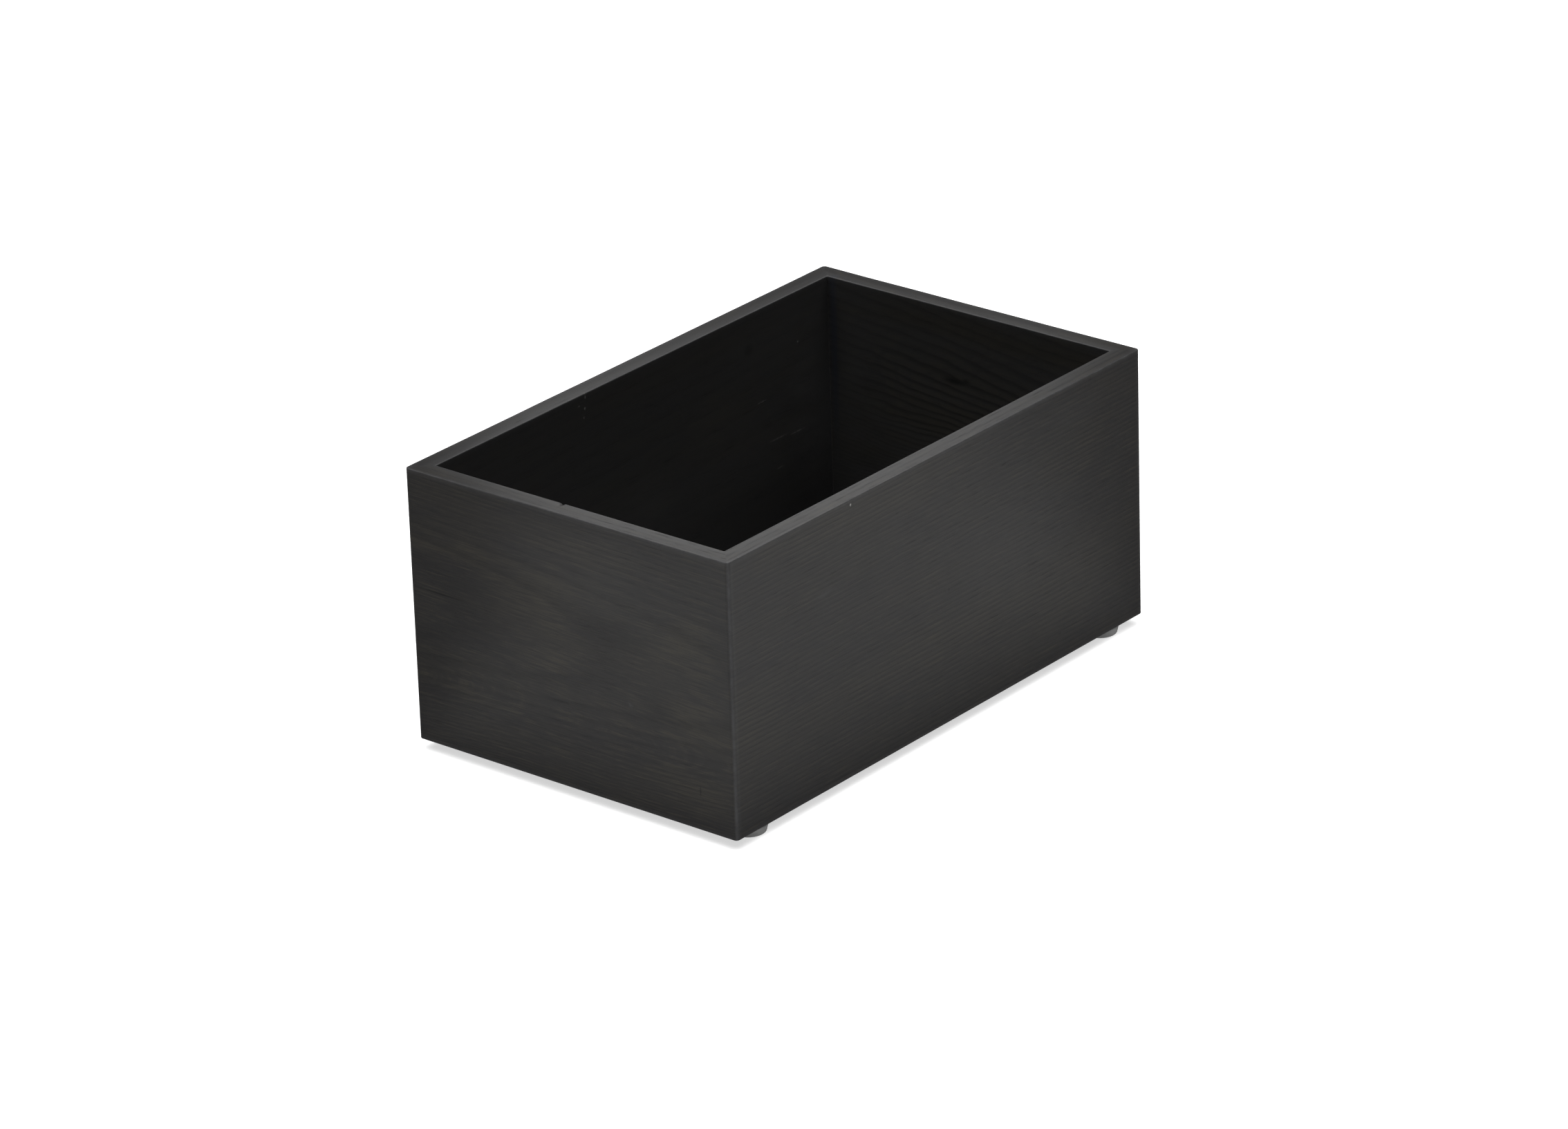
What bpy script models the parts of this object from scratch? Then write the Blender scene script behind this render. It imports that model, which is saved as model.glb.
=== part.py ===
"""Open-topped box in dark stained oak: four mitred boards, a bottom panel and four rubber feet.

Run it with: blender --background --python part.py

Metres, +Z up. The origin is on the floor, under the middle of the box. X runs along the long
boards, Y along the short ones, and -Y is the front. The boards are mitred at the corners and each
mitre holds a loose spline. The panel sits flush in a rebate round the lower inside edge.
"""

import math

import bmesh
import bpy
from mathutils import Matrix, Vector

# The box
LENGTH = 0.300              # outside, along X
WIDTH = 0.186               # outside, along Y
BODY_HEIGHT = 0.133         # the boards' height
WALL = 0.010                # the boards' thickness
CORNER_RADIUS = 0.0020      # outer vertical corners, in plan
EDGE_EASE = 0.0006          # rounding of the rim and of the lower outside edge
ARC_STEPS = 5               # straight steps in each board's half of a rounded corner

# The joints between the pieces
FIT_GAP = 0.0003            # clearance between pieces that touch
REBATE_LIP = 0.0050         # wood left outside the rebate that holds the panel
PANEL_THICKNESS = 0.0060
SPLINE_THICKNESS = 0.0025
SPLINE_WIDTH = 0.0080       # across the mitre, half of it in each board
SPLINE_DEPTH = 0.0064       # from the outer faces to the spline's middle
SPLINE_ABOVE_PANEL = 0.0030
SPLINE_BELOW_RIM = 0.0120

# The feet
FOOT_HEIGHT = 0.0050        # from the floor to the underside of the boards
FOOT_TOP_RADIUS = 0.0090
FOOT_FLOOR_RADIUS = 0.0082
FOOT_EDGE_RADIUS = 0.0010
FOOT_SEGMENTS = 40
FOOT_INSET_X = 0.0200       # from the short faces to the foot's middle
FOOT_INSET_Y = 0.0100       # from the long faces to the foot's middle

# Heights that follow from those
BASE_Z = FOOT_HEIGHT
RIM_Z = BASE_Z + BODY_HEIGHT
PANEL_TOP_Z = BASE_Z + PANEL_THICKNESS
SPLINE_LOW_Z = PANEL_TOP_Z + SPLINE_ABOVE_PANEL
SPLINE_HIGH_Z = RIM_Z - SPLINE_BELOW_RIM

# Colours and finishes: name, linear RGB, roughness
OAK = ("stained_oak", (0.045, 0.038, 0.034), 0.55)
PANEL = ("stained_panel", (0.040, 0.034, 0.031), 0.60)
SPLINE = ("raw_spline", (0.420, 0.300, 0.180), 0.75)
RUBBER = ("foot_rubber", (0.210, 0.212, 0.208), 0.70)

SIDES = {"front": -1, "back": 1}
ENDS = {"left": -1, "right": 1}


def clear_scene():
    """Empties the open scene, so the script gives the same objects each time it is run."""
    for old in list(bpy.data.objects):
        bpy.data.objects.remove(old, do_unlink=True)


def material(finish):
    """One Principled material for a finish, made once and then shared."""
    name, colour, roughness = finish
    if name in bpy.data.materials:
        return bpy.data.materials[name]
    made = bpy.data.materials.new(name)
    made.use_nodes = True
    shader = made.node_tree.nodes["Principled BSDF"]
    shader.inputs["Base Color"].default_value = (*colour, 1.0)
    shader.inputs["Roughness"].default_value = roughness
    made.diffuse_color = (*colour, 1.0)
    return made


def add_object(name, mesh, finish, place=Matrix.Identity(4)):
    """Puts a mesh in the scene under its node's name, with its material."""
    piece = bpy.data.objects.new(name, mesh)
    bpy.context.scene.collection.objects.link(piece)
    piece.matrix_world = place
    if not mesh.materials:
        mesh.materials.append(material(finish))
    return piece


def block_mesh(name, low, high):
    """A rectangular block between two corners."""
    low, high = Vector(low), Vector(high)
    shape = bmesh.new()
    place = Matrix.Translation((low + high) / 2) @ Matrix.Diagonal((*(high - low), 1.0))
    bmesh.ops.create_cube(shape, size=1.0, matrix=place)
    mesh = bpy.data.meshes.new(name)
    shape.to_mesh(mesh)
    shape.free()
    return mesh


def add_cutter(name, mesh, place=Matrix.Identity(4)):
    """A guide solid that only cuts others."""
    cutter = bpy.data.objects.new(name, mesh)
    bpy.context.scene.collection.objects.link(cutter)
    cutter.matrix_world = place
    cutter.hide_render = True
    cutter.display_type = "WIRE"
    return cutter


def cut(piece, cutter):
    """Takes a cutter's shape out of a piece."""
    boolean = piece.modifiers.new("cut_" + cutter.name, "BOOLEAN")
    boolean.operation = "DIFFERENCE"
    boolean.solver = "EXACT"
    boolean.object = cutter


def soften(piece, width, segments, by_weight=False):
    """Rounds a piece's sharp edges, or only the edges that carry a bevel weight."""
    bevel = piece.modifiers.new("eased_edges", "BEVEL")
    bevel.width = width
    bevel.segments = segments
    bevel.limit_method = "WEIGHT" if by_weight else "ANGLE"


def rounded_end(run):
    """A board's outline at its right end, from the mitre's outer end to the straight outer face.

    The outer face lies on y = 0 and the mitre on x + y = run / 2, less half the gap. The corner
    is a quarter circle shared by two boards, so each carries the part from the mitre to the face.
    """
    slide = FIT_GAP / math.sqrt(2)
    first = math.radians(45) + math.asin(slide / (CORNER_RADIUS * math.sqrt(2)))
    points = []
    for step in range(ARC_STEPS + 1):
        angle = first + (math.radians(90) - first) * step / ARC_STEPS
        x = run / 2 - CORNER_RADIUS + CORNER_RADIUS * math.cos(angle)
        y = CORNER_RADIUS - CORNER_RADIUS * math.sin(angle)
        points.append((x, y))
    return points


def board_mesh(name, run):
    """A mitred board with its outer face on y = 0 and its inner face on y = WALL.

    The outline is extruded upwards. Edges of the rim, inside and out, and of the lower outside
    carry a bevel weight, so the mitres and the rebate stay sharp.
    """
    slide = FIT_GAP / math.sqrt(2)
    right = rounded_end(run)
    left = [(-x, y) for x, y in reversed(right)]
    inner = run / 2 - WALL - slide
    outline = [(inner, WALL), (-inner, WALL), *reversed(left), *reversed(right)]

    shape = bmesh.new()
    floor = [shape.verts.new((x, y, BASE_Z)) for x, y in outline]
    face = shape.faces.new(floor)
    lifted = bmesh.ops.extrude_face_region(shape, geom=[face])["geom"]
    top = [v for v in lifted if isinstance(v, bmesh.types.BMVert)]
    bmesh.ops.translate(shape, verts=top, vec=(0, 0, BODY_HEIGHT))
    bmesh.ops.recalc_face_normals(shape, faces=shape.faces)

    weight = shape.edges.layers.float.new("bevel_weight_edge")
    for edge in shape.edges:
        heights = [v.co.z for v in edge.verts]
        depths = [v.co.y for v in edge.verts]
        level = abs(heights[0] - heights[1]) < FIT_GAP / 2
        at_rim = level and heights[0] > RIM_Z - WALL
        outside = max(depths) <= CORNER_RADIUS
        inside = min(depths) > WALL - FIT_GAP / 2
        if level and (outside or (inside and at_rim)):
            edge[weight] = 1.0
    mesh = bpy.data.meshes.new(name)
    shape.to_mesh(mesh)
    shape.free()
    return mesh


def add_boards(rebate, slots):
    """The four boards, each turned so that its outer face looks away from the box."""
    long_board = board_mesh("long_board", LENGTH)
    short_board = board_mesh("short_board", WIDTH)
    boards = (
        ("front_board", long_board, 0, WIDTH),
        ("right_board", short_board, 90, LENGTH),
        ("back_board", long_board, 180, WIDTH),
        ("left_board", short_board, 270, LENGTH),
    )
    for name, mesh, turn, across in boards:
        place = Matrix.Rotation(math.radians(turn), 4, "Z") @ Matrix.Translation((0, -across / 2, 0))
        board = add_object(name, mesh, OAK, place)
        soften(board, EDGE_EASE, 2, by_weight=True)
        cut(board, rebate)
        for corner, slot in slots.items():
            if name.split("_")[0] in corner:
                cut(board, slot)


def corner_place(end, side):
    """The frame of one corner's mitre: its X axis runs outwards along the mitre, in plan."""
    x = end * (LENGTH / 2 - SPLINE_DEPTH)
    y = side * (WIDTH / 2 - SPLINE_DEPTH)
    return Matrix.Translation((x, y, 0)) @ Matrix.Rotation(math.atan2(side, end), 4, "Z")


def spline_block(name, clearance):
    """The spline standing across its mitre, or its slot if it is given a clearance."""
    half = Vector((SPLINE_THICKNESS / 2 + clearance, SPLINE_WIDTH / 2 + clearance, 0))
    low = Vector((0, 0, SPLINE_LOW_Z - clearance)) - half
    high = Vector((0, 0, SPLINE_HIGH_Z + clearance)) + half
    return block_mesh(name, low, high)


def add_splines():
    """A spline in each mitre. Returns the slots that they need, by corner."""
    spline = spline_block("spline", 0)
    slot = spline_block("spline_slot", FIT_GAP)
    slots = {}
    for side_name, side in SIDES.items():
        for end_name, end in ENDS.items():
            corner = side_name + "_" + end_name
            place = corner_place(end, side)
            add_object("spline_" + corner, spline, SPLINE, place)
            slots[corner] = add_cutter("slot_" + corner, slot, place)
    return slots


def add_bottom_panel():
    """The panel, flush with the boards' underside. Returns the rebate that it needs."""
    half = Vector((LENGTH / 2 - REBATE_LIP, WIDTH / 2 - REBATE_LIP, 0))
    gap = Vector((FIT_GAP, FIT_GAP, 0))
    low = gap - half + Vector((0, 0, BASE_Z))
    high = half - gap + Vector((0, 0, PANEL_TOP_Z))
    panel = add_object("bottom_panel", block_mesh("bottom_panel", low, high), PANEL)
    soften(panel, EDGE_EASE / 2, 1)
    below = Vector((0, 0, BASE_Z - WALL)) - half
    above = Vector((0, 0, PANEL_TOP_Z + FIT_GAP)) + half
    return add_cutter("panel_rebate", block_mesh("panel_rebate", below, above))


def foot_mesh():
    """A low tapered disc with its flat top just under the box and its flat sole on the floor."""
    shape = bmesh.new()
    height = FOOT_HEIGHT - FIT_GAP
    bmesh.ops.create_cone(
        shape,
        cap_ends=True,
        segments=FOOT_SEGMENTS,
        radius1=FOOT_FLOOR_RADIUS,
        radius2=FOOT_TOP_RADIUS,
        depth=height,
        matrix=Matrix.Translation((0, 0, height / 2)),
    )
    sole = [e for e in shape.edges if all(v.co.z < height / 2 for v in e.verts)]
    bmesh.ops.bevel(
        shape,
        geom=sole,
        offset=FOOT_EDGE_RADIUS,
        segments=3,
        profile=0.5,
        affect="EDGES",
    )
    mesh = bpy.data.meshes.new("foot")
    shape.to_mesh(mesh)
    shape.free()
    mesh.shade_smooth()
    mesh.set_sharp_from_angle(angle=math.radians(40))
    return mesh


def add_feet():
    """A foot under each corner."""
    mesh = foot_mesh()
    for side_name, side in SIDES.items():
        for end_name, end in ENDS.items():
            x = end * (LENGTH / 2 - FOOT_INSET_X)
            y = side * (WIDTH / 2 - FOOT_INSET_Y)
            name = "foot_" + side_name + "_" + end_name
            add_object(name, mesh, RUBBER, Matrix.Translation((x, y, 0)))


clear_scene()
panel_rebate = add_bottom_panel()
spline_slots = add_splines()
add_boards(panel_rebate, spline_slots)
add_feet()
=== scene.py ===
import math

import bmesh
import bpy
import numpy as np
from bpy.props import FloatProperty, FloatVectorProperty, PointerProperty
from mathutils import Matrix, Quaternion, Vector
from mathutils.geometry import delaunay_2d_cdt


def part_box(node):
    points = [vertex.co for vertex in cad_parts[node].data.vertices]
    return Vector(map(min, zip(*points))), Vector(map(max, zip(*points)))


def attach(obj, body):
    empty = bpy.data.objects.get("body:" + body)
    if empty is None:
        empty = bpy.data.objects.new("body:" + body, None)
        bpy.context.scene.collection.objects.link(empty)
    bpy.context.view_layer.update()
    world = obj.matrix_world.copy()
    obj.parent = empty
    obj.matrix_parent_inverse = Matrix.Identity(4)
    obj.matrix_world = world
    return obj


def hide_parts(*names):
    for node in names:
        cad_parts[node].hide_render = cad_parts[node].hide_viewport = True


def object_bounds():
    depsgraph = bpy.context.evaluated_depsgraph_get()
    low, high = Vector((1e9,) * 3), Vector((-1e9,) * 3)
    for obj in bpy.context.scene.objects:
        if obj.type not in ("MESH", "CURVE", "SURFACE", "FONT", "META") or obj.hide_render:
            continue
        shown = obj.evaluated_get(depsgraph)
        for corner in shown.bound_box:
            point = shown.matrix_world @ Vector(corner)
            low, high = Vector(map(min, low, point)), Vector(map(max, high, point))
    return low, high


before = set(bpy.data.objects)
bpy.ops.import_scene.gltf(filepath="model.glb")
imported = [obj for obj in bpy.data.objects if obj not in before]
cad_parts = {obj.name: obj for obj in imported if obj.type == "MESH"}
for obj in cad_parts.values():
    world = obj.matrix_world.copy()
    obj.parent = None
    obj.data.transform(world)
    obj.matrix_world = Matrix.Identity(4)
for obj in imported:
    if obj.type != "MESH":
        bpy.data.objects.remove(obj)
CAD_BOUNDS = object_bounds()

bl_info = {
    "name": "Stained oak box",
    "version": (1, 0, 0),
    "blender": (4, 5, 0),
    "location": "View3D > Sidebar > Oak Box",
    "description": "Boards, bottom panel, splines and feet of a mitred oak box, and a stage",
    "category": "Object",
}

# Each board is made as the front one, with its outer face on the low Y side, and then turned
# about Z by this many quarter turns.
BOARDS = {"front": 0, "right": 1, "back": 2, "left": 3}
CORNERS = ("front_left", "front_right", "back_left", "back_right")

# Boards, in metres.
SPLINE_THICKNESS = 0.0025
NOTCH_PLACE = -0.008        # the knock, along the left board from its middle
NOTCH_REACH = 0.0016        # extra stations stand this far to each side of it
NOTCH_STATIONS = 17
MITRE_GUARD = 0.0002        # from the last straight station to the rounded corner
FIRST_SEED, SEED_STEP = 11, 7

# The panel's plate: points in a quarter circle, stations along it, and the least rounding left
# where an edge draws in, as a share of the rounding.
EASE_POINTS, PLATE_STATIONS, LEAST_EASE = 4, 24, 0.05

# A foot's dished sole as shares of (radius, recess), the inset of the sole's edge, its flank as
# (inset from the radius in metres, share of the height), and the steps round it.
FOOT_DISH = ((0.0, 1.0), (0.42, 1.0), (0.5, 0.75), (0.58, 0.15), (0.66, 0.0))
SOLE_INSET = 0.0008
FOOT_FLANK = ((0.0002, 0.72), (0.0, 0.86), (0.00008, 0.96), (0.0004, 1.0), (0.0011, 1.0))
FOOT_STEPS = 56

# The stage, in metres: the floor's reach, and for the dark sheet that paints shade into the
# gloss, its height, its finely and coarsely divided reaches, how fast its edges widen, and the
# strip in front where its cover sets in.
FLOOR_REACH = 30.0
FLAG_HEIGHT, FLAG_NEAR, FLAG_FAR = 0.0004, 0.26, 1.2
FLAG_WIDENING = 0.30
FRONT_FADE = 0.04


# ---- Sizes read from the frame ----

def box_sizes():
    """Outside length and width, rim and underside heights, wall, and the rebate's lip and top."""
    low, high = CAD_BOUNDS
    front_low, front_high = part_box("front_board")
    panel_low, panel_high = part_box("bottom_panel")
    return {
        "length": high.x - low.x,
        "width": high.y - low.y,
        "wall": front_high.y - front_low.y,
        "base": front_low.z,
        "rim": front_high.z,
        "lip": high.x - panel_high.x,
        "rebate": panel_high.z,
    }


# ---- Meshes ----

def add_piece(name, points, faces, material, sharp=35.0):
    """Puts points and faces into a new piece at the origin, with smooth faces between sharp edges."""
    mesh = bpy.data.meshes.new(name)
    mesh.from_pydata(points.tolist(), [], [list(face) for face in faces])
    shell = bmesh.new()
    shell.from_mesh(mesh)
    bmesh.ops.recalc_face_normals(shell, faces=shell.faces)
    shell.to_mesh(mesh)
    shell.free()
    mesh.shade_smooth()
    mesh.set_sharp_from_angle(angle=math.radians(sharp))
    mesh.materials.append(material)
    piece = bpy.data.objects.new(name, mesh)
    bpy.context.scene.collection.objects.link(piece)
    return piece


def set_attribute(piece, name, values):
    """Stores one number for each vertex, which the materials read."""
    attribute = piece.data.attributes.new(name, "FLOAT", "POINT")
    attribute.data.foreach_set("value", values.astype(np.float32))


def finish_piece(piece, slot, *nodes):
    """Fixes a piece to the frame, in place of its CAD nodes."""
    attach(piece, "root")
    if nodes:
        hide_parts(*nodes)


def quads(rows, columns, closed_rows=False):
    """The faces of a grid numbered row by row, with the last row joined to the first if closed."""
    row = np.arange(rows if closed_rows else rows - 1)[:, None]
    column = np.arange(columns - 1)[None, :]
    here = row * columns + column
    there = (row + 1) % rows * columns + column
    return np.stack([here, here + 1, there + 1, there], axis=-1).reshape(-1, 4)


def arc(centre, radius, start, stop, steps):
    """Points of a circular arc in the section's plane, from one angle to another in degrees."""
    angle = np.radians(np.linspace(start, stop, steps + 1))
    return np.stack([centre[0] + radius * np.cos(angle), centre[1] + radius * np.sin(angle)], 1)


def run_of(start, stop, step, guard):
    """Values between two ends, about a step apart, with one more close to each end."""
    sign = math.copysign(1.0, stop - start)
    count = max(2, round(abs(stop - start) / step))
    middle = np.linspace(start + sign * guard, stop - sign * guard, count + 1)
    return np.concatenate([[start], middle, [stop]])


def unevenness(along, up, seed):
    """A gentle hand-sanded wave from 0 to 1: the mean of five slanted sines with seeded phases."""
    random = np.random.default_rng(seed)
    total = np.zeros(np.broadcast(along, up).shape)
    for wave in range(5):
        length = random.uniform(0.035, 0.11)
        slant = random.uniform(-0.5, 0.5)
        phase = random.uniform(0, 2 * math.pi)
        total = total + np.sin(2 * math.pi * (along + slant * up) / length + phase)
    return 0.5 + total / 10


def board_section(sizes, ease, step):
    """A board's closed section as (depth from the outer face, height) points.

    It runs up the outer face, over the rim, down the inner face, round the rebate and back
    along the underside. The rim's two edges and the lower outer edge are quarter circles.
    """
    wall, base, rim = sizes["wall"], sizes["base"], sizes["rim"]
    lip, rebate = sizes["lip"], sizes["rebate"]
    guard = ease / 3
    outer_z = run_of(base + ease, rim - ease, step, guard)
    top_u = run_of(ease, wall - ease, step, guard)
    inner_z = run_of(rim - ease, rebate, step, guard)
    parts = [
        np.stack([np.zeros_like(outer_z), outer_z], 1),
        arc((ease, rim - ease), ease, 180, 90, 4)[1:],
        np.stack([top_u, np.full_like(top_u, rim)], 1)[1:],
        arc((wall - ease, rim - ease), ease, 90, 0, 4)[1:],
        np.stack([np.full_like(inner_z, wall), inner_z], 1)[1:],
        np.array([[(wall + lip) / 2, rebate], [lip, rebate], [lip, (base + rebate) / 2]]),
        np.array([[lip, base], [(lip + ease) / 2, base], [ease, base]]),
        arc((ease, base + ease), ease, 270, 180, 4)[1:-1],
    ]
    return np.concatenate(parts)


def board_stations(half, step, notch):
    """Shares of the straight run where the section stands, closer together about a notch."""
    even = np.linspace(-1, 1, 2 * round(half / step) + 1)
    guards = np.array([-1, 1]) * (1 - MITRE_GUARD / half)
    near = []
    if notch is not None:
        near = (notch + np.linspace(-NOTCH_REACH, NOTCH_REACH, NOTCH_STATIONS)) / half
    return np.unique(np.concatenate([even, guards, near]).round(6))


def board_surface(sizes, run, settings, seed, notch, corner_rubbing_and_highlight):
    """Points of a mitred board on a grid of section points by places along it.

    The section is carried along the board's outline. At depth u the outline is a rounded
    rectangle whose corner radius is the outer one less u, and never under the small fillet of
    the inner corner. The board takes the straight run and half of each corner's arc, so it
    ends on the mitre: along + depth = half the run.
    """
    radius, fillet = settings.corner_radius, settings.inner_fillet
    half = run / 2
    section = board_section(sizes, settings.ease, settings.grid_step)
    depth, height = section[:, 0][:, None], section[:, 1][:, None]
    turn = np.radians(np.linspace(0, 45, 6))[1:]
    corner = np.maximum(radius - depth, fillet)
    straight = half - depth - corner
    middle = straight * board_stations(half, settings.grid_step, notch)[None, :]
    end = straight + corner * np.sin(turn)[None, :]
    end_depth = depth + corner * (1 - np.cos(turn))[None, :]
    along = np.concatenate([-end[:, ::-1], middle, end], 1)
    deep = np.concatenate([end_depth[:, ::-1], np.repeat(depth, middle.shape[1], 1), end_depth], 1)
    up = np.repeat(height, along.shape[1], 1)

    # Sanding waves fade out towards the mitres, so that neighbouring boards stay level.
    to_mitre = np.clip((half - np.abs(along) - deep) / settings.level_ends, 0, 1)
    fade = to_mitre * to_mitre * (3 - 2 * to_mitre)
    share = deep / sizes["wall"]
    wave = settings.unevenness * fade
    lift = np.clip((up - sizes["base"]) / (sizes["rim"] - sizes["base"]), 0, 1)
    rim_dip = wave * unevenness(along, 0 * up, seed + 2) * (lift > 0.97)
    outer_dip = wave * unevenness(along, up, seed) * (1 - share)
    inner_dip = wave * unevenness(along, up, seed + 1) * share
    points = np.stack([along, deep + outer_dip - inner_dip, up - rim_dip], -1)

    # A knock on the inner rim, as a smooth hollow with a flat bottom.
    if notch is not None:
        across = np.hypot(deep - sizes["wall"], up - sizes["rim"]) / settings.notch_depth
        reach = np.abs(along - notch) / settings.notch_length
        hollow = settings.notch_depth * np.clip(1 - reach**2, 0, 1) * np.clip(1.6 - across, 0, 1)
        points[..., 1] -= 0.7 * hollow
        points[..., 2] -= 0.7 * hollow

    # Worn edges with a painted highlight: near the long arrises, and more broadly over the rounded
    # upright corner.
    long_edge = np.minimum.reduce([
        np.hypot(deep, up - sizes["rim"]),
        np.hypot(deep - sizes["wall"], up - sizes["rim"]),
        np.hypot(deep, up - sizes["base"]),
    ])
    upright = np.hypot(np.maximum(deep - radius / 3, 0), half - np.abs(along) - deep)
    arris = np.maximum(np.exp(-(long_edge / settings.arris_width) ** 2),
                       np.exp(-(upright / corner_rubbing_and_highlight) ** 2))
    return points, arris


def mitre_cap(points, column, spline, first):
    """Closes a board's end with its mitre face and the pocket that holds half of a spline.

    The face is a triangulation of the section's outline less the pocket's rectangle, measured
    along the mitre (depth times root 2) and upwards. The pocket goes in square to the mitre.
    Returns the pocket's eight points and faces, which count the pocket's points from first.
    """
    rows, columns = points.shape[:2]
    outline = points[:, column]
    side = math.copysign(1.0, outline[0, 0])
    root2 = math.sqrt(2)
    middle, half_thick = spline["depth"], spline["thickness"] / 2 / root2
    mouth_y = middle + half_thick * np.array([-1, 1, 1, -1])
    mouth_z = np.array([spline["low"], spline["low"], spline["high"], spline["high"]])
    reach = abs(outline[0, 0]) + outline[0, 1]
    mouth = np.stack([side * (reach - mouth_y), mouth_y, mouth_z], 1)
    inwards = np.array([-side, -1, 0]) / root2
    pocket = np.concatenate([mouth, mouth + inwards * spline["width"] / 2])

    flat = np.concatenate([outline[:, 1:], mouth[:, 1:]]) * np.array([root2, 1]) * 1000
    loops = [list(range(rows)), list(range(rows, rows + 4))]
    edges = [(loop[i - 1], loop[i]) for loop in loops for i in range(len(loop))]
    inside_with_holes = 2
    filled = delaunay_2d_cdt([Vector(p) for p in flat], edges, [], inside_with_holes, 1e-6, False)
    index = list(np.arange(rows) * columns + column % columns) + [first + i for i in range(4)]
    faces = [[int(index[i]) for i in triangle] for triangle in filled[2]]
    for i in range(4):
        j = (i + 1) % 4
        faces.append([first + i, first + j, first + 4 + j, first + 4 + i])
    faces.append([first + 4 + i for i in range(4)])
    return pocket, faces


def plate_surface(half_x, half_y, low, high, ease):
    """Points of a flat plate with eased edges, on a closed grid with its two ends left open.

    Each station along Y carries a rounded rectangle in X and Z. At the ends the rectangle
    draws in along a quarter circle: inset = ease (1 - cos t), end distance = ease (1 - sin t).
    """
    turn = np.radians(np.linspace(90, 0, EASE_POINTS))
    inset, from_end = ease * (1 - np.cos(turn)), ease * (1 - np.sin(turn))
    inset = np.concatenate([inset, np.zeros(PLATE_STATIONS), inset[::-1]])[None, :]
    middle = np.linspace(-half_y + 2 * ease, half_y - 2 * ease, PLATE_STATIONS)
    y = np.concatenate([-half_y + from_end, middle, (half_y - from_end)[::-1]])
    loops = []
    for side_x, side_z, start in ((1, 1, 90), (1, -1, 0), (-1, -1, 270), (-1, 1, 180)):
        angle = np.radians(np.linspace(start, start - 90, EASE_POINTS))
        sides = np.full((EASE_POINTS, 2), (side_x, side_z))
        loops.append(np.column_stack([sides, np.cos(angle), np.sin(angle)]))
    side_x, side_z, turn_x, turn_z = np.concatenate(loops).T[:, :, None]
    radius = np.maximum(ease - inset, ease * LEAST_EASE)
    middle_z, half_z = (low + high) / 2, (high - low) / 2
    x = side_x * (half_x - inset - radius) + turn_x * radius
    z = middle_z + side_z * (half_z - inset - radius) + turn_z * radius
    return np.stack([x, np.repeat(y[None, :], x.shape[0], 0), z], -1)


def turned_surface(profile, centre, steps):
    """A (radius, height) profile turned about a vertical axis: x = r cos a, y = r sin a.

    The profile starts and ends on the axis, where all its points are one vertex.
    """
    angle = np.linspace(0, 2 * math.pi, steps, endpoint=False)[:, None]
    radius, height = profile[1:-1, 0][None, :], profile[1:-1, 1][None, :]
    x = centre[0] + radius * np.cos(angle)
    y = centre[1] + radius * np.sin(angle)
    grid = np.stack([x, y, np.repeat(height, steps, 0)], -1)
    poles = np.array([[centre[0], centre[1], profile[0, 1]], [centre[0], centre[1], profile[-1, 1]]])
    points = np.concatenate([grid.reshape(-1, 3), poles])
    columns = grid.shape[1]
    faces = quads(steps, columns, closed_rows=True).tolist()
    first, last = steps * columns, steps * columns + 1
    for i in range(steps):
        j = (i + 1) % steps
        faces.append([first, i * columns, j * columns])
        faces.append([last, j * columns + columns - 1, i * columns + columns - 1])
    return points, faces


# ---- Node helpers ----

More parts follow.
